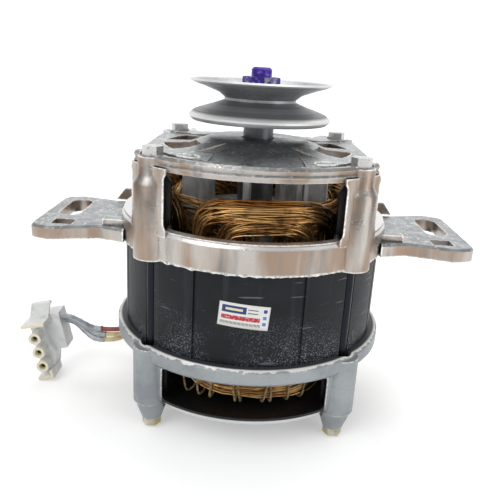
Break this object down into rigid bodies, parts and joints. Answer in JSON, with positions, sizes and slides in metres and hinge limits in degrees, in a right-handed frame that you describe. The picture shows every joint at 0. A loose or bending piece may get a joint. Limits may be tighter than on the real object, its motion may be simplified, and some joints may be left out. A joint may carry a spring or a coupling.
{
  "type": "washing machine motor",
  "caption": "Open-frame induction motor with cast end shields, black stator core, copper windings, grooved belt pulley, two slotted mounting ears and a plug on short leads.",
  "frame": {"origin": "on the shaft's axis, at the level that the tips of the through bolts stand on", "axes": "+Z along the shaft towards the pulley, +X towards the right mounting ear, -Y towards the viewer of the picture"},
  "size_m": [0.2297, 0.139, 0.1727],
  "materials": {
    "cast_aluminium": "raw die-cast",
    "grey_casting": "satin grey",
    "black_laminations": "satin black varnish",
    "slot_paper": "matt",
    "copper_wire": "glossy enamel",
    "zinc_steel": "zinc plated",
    "bearing_steel": "ground",
    "seal_rubber": "matt",
    "red_insulation": "satin",
    "cream_insulation": "satin",
    "grey_sleeving": "glossy sleeving",
    "white_nylon": "satin",
    "contact_brass": "plain",
    "machined_steel": "machined",
    "bare_laminations": "plain",
    "cage_aluminium": "cast",
    "pulley_steel": "turned grey"
  },
  "bodies": {
    "frame": {"upper_end_shield": "cast_aluminium", "lower_end_shield": "grey_casting", "stator_core": "black_laminations", "slot_liners": "slot_paper", "slot_wedges": "slot_paper", "main_coil_right": "copper_wire", "main_coil_rear": "copper_wire", "main_coil_left": "copper_wire", "main_coil_front": "copper_wire", "start_winding_upper": "copper_wire", "start_winding_lower": "copper_wire", "through_bolts": "zinc_steel", "foot_nuts": "zinc_steel", "upper_bearing_outer_race": "bearing_steel", "upper_bearing_seals": "seal_rubber", "lower_bearing_outer_race": "bearing_steel", "lower_bearing_seals": "seal_rubber", "wave_washer": "bearing_steel", "lead_red": "red_insulation", "lead_cream_1": "cream_insulation", "lead_cream_2": "cream_insulation", "lead_sleeve_1": "grey_sleeving", "lead_sleeve_2": "grey_sleeving", "lead_sleeve_3": "grey_sleeving", "plug_housing": "white_nylon", "plug_contacts": "contact_brass"},
    "rotor": {"shaft": "machined_steel", "pulley_key": "machined_steel", "rotor_core": "bare_laminations", "rotor_cage": "cage_aluminium", "upper_bearing_inner_race": "bearing_steel", "lower_bearing_inner_race": "bearing_steel", "pulley": "pulley_steel", "pulley_washer": "machined_steel", "pulley_nut": "machined_steel"}
  },
  "joints": [
    {"name": "rotor_spin", "type": "hinge", "parent": "frame", "child": "rotor", "pos_m": [0, 0, 0.1], "axis": [0, 0, 1], "continuous": true}
  ]
}
